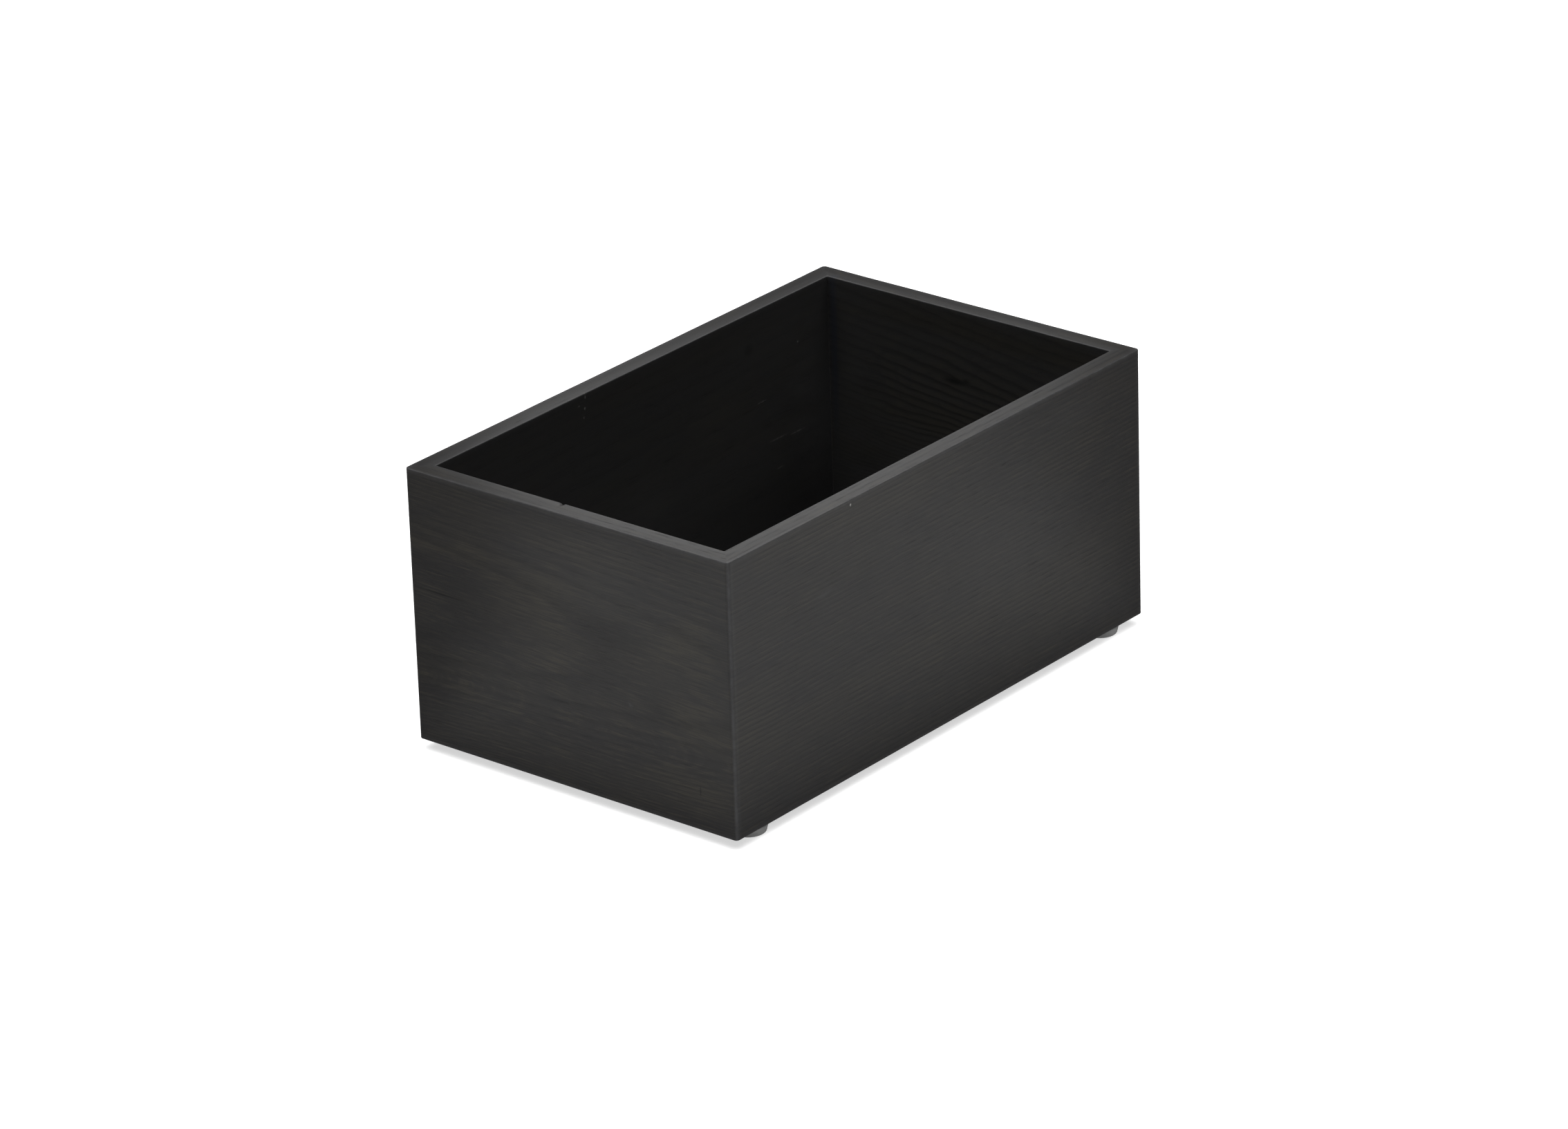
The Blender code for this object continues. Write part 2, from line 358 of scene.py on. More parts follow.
class Graph:
    """Adds nodes to a node tree and joins them, so that a formula can be read from the code."""

    def __init__(self, tree):
        self.tree = tree

    def node(self, kind, inputs=None, **settings):
        made = self.tree.nodes.new(kind)
        for name, value in settings.items():
            setattr(made, name, value)
        for key, value in (inputs or {}).items():
            if isinstance(value, bpy.types.NodeSocket):
                self.join(value, made.inputs[key])
            else:
                made.inputs[key].default_value = value
        return made

    def math(self, operation, *values, clamp=False):
        return self.node("ShaderNodeMath", dict(enumerate(values)), operation=operation,
                         use_clamp=clamp).outputs[0]

    def join(self, value, socket):
        self.tree.links.new(value, socket)

    def bump(self, height, distance, shader):
        """Gives a shader fine relief from a height of 0 to 1."""
        made = self.node("ShaderNodeBump", {"Height": height, "Strength": 1.0, "Distance": distance})
        self.join(made.outputs[0], shader.inputs["Normal"])

    def mul(self, a, b):
        return self.math("MULTIPLY", a, b)

    def add(self, a, b):
        return self.math("ADD", a, b)

    def sub(self, a, b):
        return self.math("SUBTRACT", a, b)

    def vectors(self, operation, a, b):
        return self.node("ShaderNodeVectorMath", {0: a, 1: b}, operation=operation).outputs[0]

    def scaled(self, vector, x, y, z):
        return self.vectors("MULTIPLY", vector, (x, y, z))

    def combine(self, x, y, z):
        return self.node("ShaderNodeCombineXYZ", {0: x, 1: y, 2: z}).outputs[0]

    def split(self, vector):
        return self.node("ShaderNodeSeparateXYZ", {0: vector}).outputs

    def noise(self, vector, detail=2.0, roughness=0.5, scale=1.0):
        return self.node("ShaderNodeTexNoise", {"Vector": vector, "Scale": scale, "Detail": detail,
                                                "Roughness": roughness}).outputs[0]

    def ramp(self, value, low, high, start=0.0, stop=1.0):
        """A smooth step from start to stop as the value goes from low to high."""
        return self.node("ShaderNodeMapRange", {"Value": value, 1: low, 2: high, 3: start, 4: stop},
                         interpolation_type="SMOOTHSTEP").outputs[0]

    def mix(self, share, a, b):
        return self.node("ShaderNodeMix", {0: share, 6: a, 7: b}, data_type="RGBA").outputs[2]

    def paint(self, base, *layers):
        """Lays colours over a base in turn, each as far as its share says."""
        for share, colour in layers:
            base = self.mix(share, base, (*colour, 1))
        return base

    def group(self, name, **inputs):
        return self.node("ShaderNodeGroup", inputs, node_tree=bpy.data.node_groups[name]).outputs


def new_group(name, inputs, *outputs):
    """Starts a node group with named sockets, its outputs numbers; returns its graph and ends."""
    tree = bpy.data.node_groups.new(name, "ShaderNodeTree")
    kinds = {float: "NodeSocketFloat", tuple: "NodeSocketVector"}
    for label, default in inputs.items():
        socket = tree.interface.new_socket(label, in_out="INPUT", socket_type=kinds[type(default)])
        socket.default_value = default
    for label in outputs:
        tree.interface.new_socket(label, in_out="OUTPUT", socket_type=kinds[float])
    graph = Graph(tree)
    return graph, graph.node("NodeGroupInput").outputs, graph.node("NodeGroupOutput").inputs


def new_material(name, colour, roughness, sheen=0.5):
    """A Principled material; returns it with its graph and its shader node."""
    material = bpy.data.materials.new(name)
    material.use_nodes = True
    material.diffuse_color = (*colour, 1)
    material.node_tree.nodes.clear()
    graph = Graph(material.node_tree)
    shader = graph.node("ShaderNodeBsdfPrincipled",
                        {"Base Color": (*colour, 1), "Roughness": roughness,
                         "Specular IOR Level": sheen})
    graph.node("ShaderNodeOutputMaterial", {"Surface": shader.outputs[0]})
    return material, graph, shader


# ---- Shared effects ----

def make_growth_group():
    """Oak growth rings in a solid block, with the grain along X, depth along Y and height Z.

    ring = arch (|z| / spread)^3 + along x + lean z + deep y, where z is first shifted by slow
    waves. Ring is that count. Early is 1 in the open-pored wood that starts each ring and falls
    to 0 across it; Late swells in the dense wood that ends it.
    """
    graph, given, out = new_group(
        "Oak growth rings",
        {"Grain": (0.0, 0.0, 0.0), "Heart": (0.0, 0.0, 0.0), "Spread": 0.035, "Arch": 1.0,
         "Along": 10.0, "Lean": 0.0, "Deep": 100.0, "Waviness": 0.004, "Ripple": 0.0005},
        "Early", "Late", "Ring")
    local = graph.vectors("SUBTRACT", given["Grain"], given["Heart"])
    x, y, z = graph.split(local)
    slow = graph.noise(graph.scaled(local, 9, 22, 22), detail=1)
    quick = graph.noise(graph.scaled(local, 55, 120, 120), detail=1)
    slow = graph.mul(graph.sub(slow, 0.5), given["Waviness"])
    quick = graph.mul(graph.sub(quick, 0.5), given["Ripple"])
    z = graph.add(graph.add(z, graph.mul(slow, 2.0)), quick)
    share = graph.math("DIVIDE", graph.math("ABSOLUTE", z), given["Spread"])
    ring = graph.mul(graph.math("POWER", share, 3.0), given["Arch"])
    ring = graph.add(ring, graph.mul(x, given["Along"]))
    ring = graph.add(ring, graph.mul(z, given["Lean"]))
    ring = graph.add(ring, graph.mul(y, given["Deep"]))
    part = graph.math("FRACT", ring)
    early = graph.math("ADD", graph.ramp(part, 0.0, 0.5, 1.0, 0.0),
                       graph.ramp(part, 0.85, 1.0, 0.0, 1.0), clamp=True)
    late = graph.mul(graph.ramp(part, 0.25, 0.7), graph.ramp(part, 0.8, 1.0, 1.0, 0.0))
    for name, socket in {"Early": early, "Late": late, "Ring": ring}.items():
        graph.join(socket, out[name])


def make_pore_group():
    """Fine marks drawn out along the grain: stretched noise, cut off above a level.

    Level is the share of the noise's range that stays clear, and Crowd lowers it.
    """
    graph, given, out = new_group(
        "Oak pore marks",
        {"Grain": (0.0, 0.0, 0.0), "Fineness": (100.0, 3000.0, 3000.0), "Level": 0.6, "Crowd": 0.0},
        "Marks")
    stretched = graph.vectors("MULTIPLY", given["Grain"], given["Fineness"])
    drawn = graph.noise(stretched, detail=1.5, roughness=0.6)
    level = graph.sub(given["Level"], given["Crowd"])
    above = graph.sub(drawn, level)
    graph.join(graph.ramp(above, 0.0, 0.09), out["Marks"])


def make_patch_group():
    """Broad soft patches: noise stretched by Size per metre, between two levels."""
    graph, given, out = new_group(
        "Broad patches",
        {"Grain": (0.0, 0.0, 0.0), "Size": (12.0, 30.0, 30.0), "Low": 0.4, "High": 0.65},
        "Patches")
    stretched = graph.vectors("MULTIPLY", given["Grain"], given["Size"])
    broad = graph.noise(stretched, detail=2, roughness=0.55)
    graph.join(graph.ramp(broad, given["Low"], given["High"]), out["Patches"])


def make_dust_group():
    """Sparse dust specks: the middles of scattered cells, of which only a few are kept."""
    graph, given, out = new_group(
        "Dust specks",
        {"Place": (0.0, 0.0, 0.0), "Spacing": 0.012, "Radius": 0.0003, "Kept": 0.2},
        "Specks")
    cells = graph.node("ShaderNodeTexVoronoi", {
        "Vector": given["Place"], "Scale": graph.math("DIVIDE", 1.0, given["Spacing"])})
    reach = graph.mul(cells.outputs["Distance"], given["Spacing"])
    near = graph.math("LESS_THAN", reach, given["Radius"])
    lot = graph.split(cells.outputs["Color"])[0]
    kept = graph.math("LESS_THAN", lot, given["Kept"])
    graph.join(graph.mul(near, kept), out["Specks"])


def make_blot_group():
    """One soft-edged oval: 1 inside, falling to 0 at its size, by the scaled distance."""
    graph, given, out = new_group(
        "Soft blot",
        {"Grain": (0.0, 0.0, 0.0), "Centre": (0.0, 0.0, 0.0), "Size": (0.01, 0.01, 0.01)},
        "Blot")
    local = graph.vectors("SUBTRACT", given["Grain"], given["Centre"])
    local = graph.vectors("DIVIDE", local, given["Size"])
    distance = graph.node("ShaderNodeVectorMath", {0: local}, operation="LENGTH").outputs["Value"]
    graph.join(graph.ramp(distance, 0.1, 1.3, 1.0, 0.0), out["Blot"])


def make_arris_group():
    """Worn edges with a painted highlight along the arrises: the board's arris attribute broken up by
    noise.
    """
    graph, given, out = new_group(
        "Arris wear", {"Place": (0.0, 0.0, 0.0), "Amount": 0.5}, "Wear")
    arris = graph.node("ShaderNodeAttribute", attribute_name="arris").outputs["Fac"]
    broken = graph.noise(graph.scaled(given["Place"], 220, 220, 220), detail=3, roughness=0.6)
    broken = graph.ramp(broken, 0.3, 0.7, 0.6, 1.0)
    rubbing_and_highlight = graph.mul(graph.mul(arris, broken), given["Amount"])
    graph.join(rubbing_and_highlight, out["Wear"])


def make_shared_groups():
    """Builds each shared effect once."""
    makers = {"Oak growth rings": make_growth_group, "Oak pore marks": make_pore_group,
              "Broad patches": make_patch_group, "Dust specks": make_dust_group,
              "Soft blot": make_blot_group, "Arris wear": make_arris_group}
    for name, maker in makers.items():
        if name not in bpy.data.node_groups:
            maker()


# ---- Materials ----

DUST = (0.50, 0.50, 0.48)

# How each board was sawn from its tree. Heart is the middle of its figure (along the board from
# its middle, depth from its outer face, height), in metres. Banding is how plainly the rings
# show in the colour, and even how much of that is left away from the khaki marks. Brown is how
# much brown wood shows through the stain, pale how plainly the khaki streaks do, and inside how
# much lighter the inner face is painted, as a share of the setting: painted light on the box's
# inner faces.
FIGURES = {
    "front": {"heart": (0.02, 0.0, 0.06), "spread": 0.06, "arch": 0.3, "along": 3.0,
              "lean": 400.0, "deep": 300.0, "waviness": 0.0016, "ripple": 0.0003,
              "banding": 0.45, "even": 0.8, "brown": 0.25, "pale": 0.50, "inside": 1.0},
    "right": {"heart": (-0.03, 0.01, 0.115), "spread": 0.04, "arch": 1.5, "along": 24.0,
              "lean": -190.0, "deep": 120.0, "waviness": 0.0080, "ripple": 0.0026,
              "banding": 0.58, "even": 0.40, "brown": 0.60, "pale": 0.30, "inside": 1.22},
    "back": {"heart": (0.04, 0.01, 0.05), "spread": 0.06, "arch": 1.0, "along": 5.0,
             "lean": 60.0, "deep": 190.0, "waviness": 0.004, "ripple": 0.0005,
             "banding": 0.05, "even": 1.0, "brown": 0.20, "pale": 0.10, "inside": 1.04},
    "left": {"heart": (0.100, 0.0, 0.078), "spread": 0.035, "arch": 2.2, "along": 12.0,
             "lean": 6.0, "deep": 330.0, "waviness": 0.0030, "ripple": 0.0006,
             "banding": 0.30, "even": 0.6, "brown": 0.30, "pale": 0.58, "inside": 1.0},
}
# The figure's values that the growth rings take; the rest go into the colour.
RING_KEYS = ("heart", "spread", "arch", "along", "lean", "deep", "waviness", "ripple")

# Single marks near one face of a board: strength, place along the board from its middle, height,
# half length and half height, in millimetres. Dust lies in dots; the rest have soft edges.
MM = 0.001
OUTER, INNER = 0.0, 10.0
MARK_DEPTH = 0.004
MARKS = {
    "front": {
        "face": OUTER,
        "khaki": [(0.6, -60, 131, 100, 12), (0.5, 10, 46, 110, 20), (0.7, -142, 55, 30, 22),
                  (0.5, 100, 106, 45, 16), (0.5, 98, 38, 45, 16)],
        "rubbed_and_painted_light": [(0.08, 48, 76, 50, 32), (0.08, 100, 125, 20, 10), (0.14, -82, 101, 9, 0.9)],
        "dark": [(0.9, 45.6, 116.5, 2.4, 0.6), (0.8, -32, 120, 1.6, 0.5), (0.9, 4, 70, 0.8, 0.8),
                 (0.8, 86, 18, 1.2, 0.6), (0.15, -56, 98, 6, 12)],
        "dust": [(0.5, -64.5, 135.5, 0.6, 0.7)],
    },
    "right": {
        "face": INNER,
        "khaki": [(0.7, 0, 88, 70, 34)],
        # The broad lighter patch near the back board is painted light in the inner corner.
        "rubbed_and_painted_light": [(0.24, 81.5, 106, 0.6, 20), (0.27, 78, 75, 22, 50)],
        "dark": [(0.85, 8, 101.5, 7.5, 2), (0.6, 1, 103, 3, 1.4)],
        "blue": [(0.55, 79.8, 108, 2.6, 60)],
    },
    "back": {
        "face": INNER,
        "khaki": [(0.8, -55, 94, 26, 18)],
        # The last lighter patch, at the end beside the right board, is painted light in the inner
        # corner.
        "rubbed_and_painted_light": [(0.1, -5, 65, 22, 18), (0.07, -96, 121, 40, 20), (0.31, -138, 70, 24, 60)],
        # The second dark mark, broad and low across the inner face, is a painted shade.
        "dark": [(0.35, -80, 120, 3.5, 3.5), (0.4, -90, 32, 100, 30)],
        "dust": [(0.18, 37.3, 136.5, 0.5, 1.6), (0.2, 37.8, 130.6, 0.6, 1),
                 (0.16, 38.6, 126.5, 0.5, 0.8), (0.1, 42, 133, 1, 0.5), (0.1, -88.7, 90.9, 3.4, 0.5),
                 (0.08, -100, 68.6, 7, 0.5), (0.08, -114.5, 67.2, 6, 0.5),
                 (0.06, -101, 53.3, 3, 0.5), (0.3, -116.7, 112.4, 0.6, 0.6)],
    },
    "left": {
        "face": OUTER,
        "khaki": [(1, -16, 98, 40, 13), (0.8, 10, 122, 36, 9), (1, 72, 95, 22, 14),
                  (0.9, 70, 55, 20, 12), (0.8, 68, 23, 28, 11), (0.7, -60, 104.5, 40, 5),
                  (0.5, -55, 34, 34, 6), (0.5, -15, 65, 24, 7), (0.5, 52, 81.5, 24, 5)],
        "rubbed_and_painted_light": [(0.27, 34.5, 55.5, 1.5, 1.5), (0.17, 0, 116, 60, 28)],
        "dark": [(0.3, 26, 87, 22, 9), (0.3, 51, 57, 13, 9), (0.2, -80, 40, 20, 26),
                 (0.95, -75, 80.8, 16, 0.6), (0.7, 73, 24, 0.5, 3)],
    },
}


def marks_cover(graph, grain, marks, kind):
    """The greatest cover of one kind of single mark, or 0 where the board has none."""
    cover = 0.0
    for strength, along, height, half_length, half_height in marks.get(kind, ()):
        blot = graph.group("Soft blot", Grain=grain,
                           Centre=(along * MM, marks["face"] * MM, height * MM),
                           Size=(half_length * MM, MARK_DEPTH, half_height * MM))[0]
        cover = graph.math("MAXIMUM", cover, graph.mul(blot, strength))
    return cover


def oak_material(board, settings, other):
    """Dark-stained oak for one board, with its figure running through the whole board."""
    colour = tuple(settings.stain)
    material, graph, shader = new_material(f"stained oak {board}", colour, settings.roughness,
                                           settings.sheen)
    place = graph.node("ShaderNodeTexCoord").outputs["Object"]
    turn = math.radians(-90 * BOARDS[board])
    grain = graph.node("ShaderNodeMapping", {
        "Vector": place, "Location": (0, other / 2, 0), "Rotation": (0, 0, turn)}).outputs[0]
    figure, marks = FIGURES[board], MARKS[board]
    growth = graph.group("Oak growth rings", Grain=grain,
                         **{key.capitalize(): figure[key] for key in RING_KEYS})
    early, late = growth["Early"], growth["Late"]
    patches = graph.group("Broad patches", Grain=grain, Size=(7, 40, 45), Low=0.40, High=0.68)[0]
    x, y, z = graph.split(grain)
    straight = graph.noise(graph.scaled(grain, 60, 1900, 1900), detail=3, roughness=0.68)
    across = graph.add(graph.mul(growth["Ring"], 6.0), graph.mul(z, 1300))
    along_rings = graph.combine(graph.mul(x, 45), graph.mul(y, 300), across)
    bent = graph.noise(along_rings, detail=4, roughness=0.7)
    streaks = graph.mul(graph.add(straight, bent), 0.5)
    long_lines = graph.noise(graph.scaled(grain, 45, 1300, 1300), detail=2, roughness=0.6)
    pores = graph.group("Oak pore marks", Grain=grain, Fineness=(70, 3400, 3400), Level=0.64,
                        Crowd=graph.mul(early, 0.09))[0]
    specks = graph.group("Dust specks", Place=place, Spacing=0.016, Radius=0.00022, Kept=0.12)[0]
    rubbing_and_highlight = graph.group("Arris wear", Place=place, Amount=settings.rubbing_and_highlight)[0]

    # The single marks, with ragged outlines.
    ragged = graph.sub(graph.noise(graph.scaled(grain, 30, 90, 90), detail=4), 0.5)
    shift = graph.combine(graph.mul(ragged, 0.05), 0.0, graph.mul(ragged, 0.015))
    rough_grain = graph.vectors("ADD", grain, shift)
    khaki, rubbed_and_painted_light = (marks_cover(graph, rough_grain, marks, kind) for kind in ("khaki", "rubbed_and_painted_light"))
    dark, blue, dust = (marks_cover(graph, grain, marks, kind) for kind in ("dark", "blue", "dust"))
    dots = graph.noise(graph.scaled(grain, 900, 900, 900), detail=2, roughness=0.6)
    dust = graph.mul(dust, graph.ramp(dots, 0.42, 0.58, 0.3, 1.2))

    # The stain, painted lighter on the inner faces as painted light in the box, and browner in
    # patches, under fine lines.
    inner = tuple(figure["inside"] * c for c in settings.inside)
    base = graph.paint((*colour, 1), (graph.ramp(y, 0.004, 0.007), inner),
                       (graph.mul(patches, figure["brown"]), settings.brown),
                       (graph.ramp(long_lines, 0.46, 0.64, 0.0, 0.3), settings.brown),
                       (graph.ramp(streaks, 0.34, 0.50, 0.30, 0.0), settings.pore))

    # Dark rings, broken by the streaks, and khaki streaks that crowd in the khaki marks.
    rings = graph.mul(early, graph.ramp(streaks, 0.34, 0.60, 0.5, 1.0))
    rings = graph.mul(rings, graph.ramp(khaki, 0.0, 0.6, figure["even"], 1.0))
    crowd = graph.add(graph.mul(khaki, 0.065), graph.mul(late, 0.03))
    pale = graph.ramp(graph.add(streaks, crowd), 0.50, 0.66)
    # Lighter patches and the arris colour paint worn edges, painted highlights and painted light in
    # the back-right inner corner; the dark marks include a painted shade low on the back board's
    # inner face.
    base = graph.paint(base, (graph.mul(khaki, 0.14), settings.pale_streak),
                       (graph.mul(pale, figure["pale"]), settings.pale_streak),
                       (graph.mul(rings, figure["banding"]), settings.pore),
                       (graph.mul(pores, 0.38), settings.pore), (rubbed_and_painted_light, settings.arris),
                       (dark, settings.pore), (blue, settings.bluish_strip), (rubbing_and_highlight, settings.arris),
                       (graph.math("MAXIMUM", specks, dust), DUST))
    graph.join(base, shader.inputs["Base Color"])

    rough = graph.add(settings.roughness, graph.mul(pores, 0.15))
    rough = graph.add(rough, graph.mul(long_lines, 0.06))
    graph.join(rough, shader.inputs["Roughness"])

    height = graph.sub(1.0, graph.mul(pores, 0.5))
    height = graph.add(height, graph.mul(long_lines, 0.5))
    height = graph.sub(height, graph.mul(early, 0.2))
    graph.bump(height, 0.00002, shader)
    return material


def panel_material(settings):
    """Dark-stained oak with straight fine grain along X, for the bottom panel."""
    colour = tuple(settings.stain)
    material, graph, shader = new_material("stained panel", colour, settings.roughness,
                                           settings.sheen)
    place = graph.node("ShaderNodeTexCoord").outputs["Object"]
    grain = graph.node("ShaderNodeMapping", {
        "Vector": place, "Rotation": (math.radians(90), 0, 0)}).outputs[0]
    growth = graph.group("Oak growth rings", Grain=grain, Heart=(0.05, 0.0, 0.01), Spread=0.04,
                         Arch=3.0, Along=12.0, Lean=40.0, Deep=150.0, Waviness=0.005, Ripple=0.0005)
    early = growth["Early"]
    pores = graph.group("Oak pore marks", Grain=grain, Fineness=(120, 2400, 2400), Level=0.62,
                        Crowd=graph.mul(early, 0.1))[0]
    brown = graph.group("Broad patches", Grain=grain, Size=(10, 40, 40), Low=0.4, High=0.65)[0]
    specks = graph.group("Dust specks", Place=place, Spacing=0.014, Radius=0.00022, Kept=0.2)[0]
    base = graph.paint((*colour, 1), (graph.mul(brown, 0.5), settings.brown),
                       (graph.mul(pores, 0.35), settings.pore), (specks, DUST))
    graph.join(base, shader.inputs["Base Color"])
    rough = graph.add(settings.roughness, graph.mul(pores, 0.2))
    graph.join(rough, shader.inputs["Roughness"])
    height = graph.sub(1.0, graph.mul(pores, 0.8))
    height = graph.sub(height, graph.mul(early, 0.3))
    graph.bump(height, 0.00003, shader)
    return material


def spline_material(settings):
    """Bare, unstained oak with its grain across the joint."""
    material, graph, shader = new_material("raw spline", tuple(settings.colour), 0.75)
    place = graph.node("ShaderNodeTexCoord").outputs["Object"]
    pores = graph.group("Oak pore marks", Grain=place, Fineness=(900, 900, 90), Level=0.58,
                        Crowd=0.0)[0]
    patches = graph.group("Broad patches", Grain=place, Size=(60, 60, 20), Low=0.35, High=0.7)[0]
    dark = tuple(0.55 * c for c in settings.colour)
    base = graph.paint((*settings.colour, 1), (graph.mul(patches, 0.3), dark),
                       (graph.mul(pores, 0.7), dark))
    graph.join(base, shader.inputs["Base Color"])
    graph.bump(graph.sub(1.0, pores), 0.00004, shader)
    return material


def foot_material(settings):
    """Matte moulded rubber with a fine sandy skin and a little dust."""
    material, graph, shader = new_material("foot rubber", tuple(settings.colour), 0.7)
    place = graph.node("ShaderNodeTexCoord").outputs["Object"]
    skin = graph.noise(place, detail=3, roughness=0.6, scale=2600)
    patches = graph.group("Broad patches", Grain=place, Size=(160, 160, 260), Low=0.4, High=0.7)[0]
    light = tuple(min(1, 1.25 * c) for c in settings.colour)
    base = graph.paint((*settings.colour, 1), (graph.mul(patches, 0.5), light))
    graph.join(base, shader.inputs["Base Color"])
    rough = graph.ramp(skin, 0.3, 0.7, 0.62, 0.8)
    graph.join(rough, shader.inputs["Roughness"])
    graph.bump(skin, 0.00002, shader)
    return material


# ---- Settings ----

def length_setting(name, description, default):
    return FloatProperty(name=name, description=description, default=default, min=0.0,
                         unit="LENGTH", precision=5)


def colour_setting(name, description, default):
    return FloatVectorProperty(name=name, description=description, default=default, min=0.0,
                               max=1.0, size=3, subtype="COLOR")


def share_setting(name, description, default):
    return FloatProperty(name=name, description=description, default=default, min=0.0, max=1.0,
                         subtype="FACTOR")


def angle_setting(name, description, degrees):
    return FloatProperty(name=name, description=description, default=math.radians(degrees),
                         subtype="ANGLE")


def place_setting(name, description, default):
    return FloatVectorProperty(name=name, description=description, default=default,
                               subtype="TRANSLATION")


def amount_setting(name, description, default):
    return FloatProperty(name=name, description=description, default=default, min=0.0)


class OAKBOX_BoardSettings(bpy.types.PropertyGroup):
    corner_radius: length_setting("Corner radius", "Rounding of the box's upright corners", 0.0020)
    inner_fillet: length_setting("Inner fillet", "Fillet in the inner corners", 0.0004)
    ease: length_setting("Eased edge", "Rounding of the rim's and the lower edges", 0.0004)
    grid_step: length_setting("Grid step", "Distance between the grid's points on a face", 0.0020)
    unevenness: length_setting("Unevenness", "How far the sanded faces dip", 0.00008)
    level_ends: length_setting("Level ends", "Length over which the dips fade to the mitres", 0.03)
    panel_gap: length_setting("Panel gap", "Joint line between the panel and the rebate", 0.00015)
    notch_depth: length_setting("Notch depth", "Depth of the knock on the left inner rim", 0.0006)
    notch_length: length_setting("Notch length", "Half the length of that knock", 0.0012)
    arris_width: length_setting("Arris width", "How far the wear reaches from an arris", 0.0005)
    # These reaches set the band of worn edge and painted highlight round the upright corner.
    rubbing_and_highlight_long: length_setting("Corner wear, long", "Its reach from an upright corner on the "
                              "front and back boards", 0.0017)
    rubbing_and_highlight_short: length_setting("Corner wear, short", "Its reach on the left and right boards",
                               0.0009)
    stain: colour_setting("Stain", "Colour of the dark stained wood", (0.0174, 0.0169, 0.0175))
    # The inner faces are painted lighter than the outer ones: painted light in the box.
    inside: colour_setting("Inner stain, painted lighter", "Colour of the inner faces", (0.0222, 0.0219, 0.0223))
    brown: colour_setting("Brown wood", "Where the stain took less", (0.0260, 0.0238, 0.0198))
    pale_streak: colour_setting("Pale streaks", "Dry khaki flecks", (0.038, 0.0342, 0.0258))
    # This colour also paints the dark marks, one of them a painted shade low on the back board's
    # inner face.
    pore: colour_setting("Pores", "Bottom of the open pores", (0.0083, 0.0082, 0.0085))
    # A bluish strip beside the right board's inner corner with the back board.
    bluish_strip: colour_setting("Bluish strip", "Bluish band beside the inner corner", (0.0190, 0.0220, 0.0330))
    # The arris colour paints worn edges together with a painted highlight on the arrises and the
    # upright corner, and the lighter patches, two of them painted light in the back-right inner
    # corner.
    arris: colour_setting("Arris", "Rubbed edges and painted highlights", (0.048, 0.048, 0.050))
    rubbing_and_highlight: share_setting("Wear", "How much the edges are rubbed", 0.9)
    roughness: share_setting("Roughness", "Satin of the finish", 0.26)
    sheen: share_setting("Sheen", "Strength of the finish's reflection", 0.140)


class OAKBOX_PanelSettings(bpy.types.PropertyGroup):
    ease: length_setting("Eased edge", "Rounding of the panel's edges", 0.0003)
    stain: colour_setting("Stain", "Colour of the stained panel", (0.0150, 0.0147, 0.0148))
    brown: colour_setting("Brown wood", "Where the stain took less", (0.0200, 0.0185, 0.0165))
    pore: colour_setting("Pores", "Bottom of the open pores", (0.0085, 0.0083, 0.0082))
    roughness: share_setting("Roughness", "Satin of the finish", 0.40)
    sheen: share_setting("Sheen", "Strength of the finish's reflection", 0.14)


class OAKBOX_SplineSettings(bpy.types.PropertyGroup):
    clearance: length_setting("Clearance", "Room round a spline in its pocket", 0.0001)
    colour: colour_setting("Bare oak", "Colour of the unstained splines", (0.42, 0.30, 0.18))


class OAKBOX_FootSettings(bpy.types.PropertyGroup):
    pad: length_setting("Adhesive pad", "Thickness of the pad that holds a foot", 0.00026)
    recess: length_setting("Sole recess", "Depth of the dish in the sole", 0.0005)
    edge: length_setting("Sole edge", "Rounding of the sole's edge", 0.0010)
    colour: colour_setting("Rubber", "Colour of the feet", (0.17, 0.172, 0.17))


class OAKBOX_StageSettings(bpy.types.PropertyGroup):
    floor: colour_setting("Floor", "Colour of the floor", (0.55, 0.55, 0.55))
    floor_glow: amount_setting("Floor glow", "Light from under the floor", 0.62)
    surround: amount_setting("Surround", "Brightness of the surround low down", 0.04)
    overhead: amount_setting("Overhead", "Brightness of the surround overhead", 4.1)
    card_place: place_setting("Card place", "Middle of the back card", (0.347, 0.279, 0.395))
    card_aim: place_setting("Card aim", "The point it faces", (0.0, 0.0, 0.138))
    card_width: length_setting("Card width", "Side to side", 0.31)
    card_height: length_setting("Card height", "Up and down", 0.145)
    card_power: amount_setting("Card power", "In watts", 0.278)
    # The dark sheet's lines, edge and covers shape the painted shade in the box's reflections.
    right_turn: angle_setting("Right turn", "Line of the flag on the right", -47.6)
    left_turn: angle_setting("Left turn", "Line of the flag on the left", 153)
    flag_edge: length_setting("Flag edge", "Width of the flag's soft edge at the box", 0.03)
    flag_cover: share_setting("Flag cover", "Share of the floor's light it takes", 0.90)
    front_cover: share_setting("Front cover", "Share taken all along the front", 0.18)
    band_cover: share_setting("Band cover", "Share taken close to the box", 0.88)
    band_reach: length_setting("Band reach", "How far the band's cover reaches", 0.045)
    aim: place_setting("Aim", "The point that the camera looks at", (-0.0022, -0.0024, 0.0616))
    distance: length_setting("Distance", "From the camera to that point", 3.2655)
    azimuth: angle_setting("Azimuth", "Camera's place round the box from -Y", -50.42)
    elevation: angle_setting("Elevation", "Camera's height as an angle", 23.685)
    roll: angle_setting("Roll", "Camera's turn about its own axis", -1.843)
    lens: amount_setting("Lens", "Focal length in millimetres", 164.15)


# ---- Operators ----

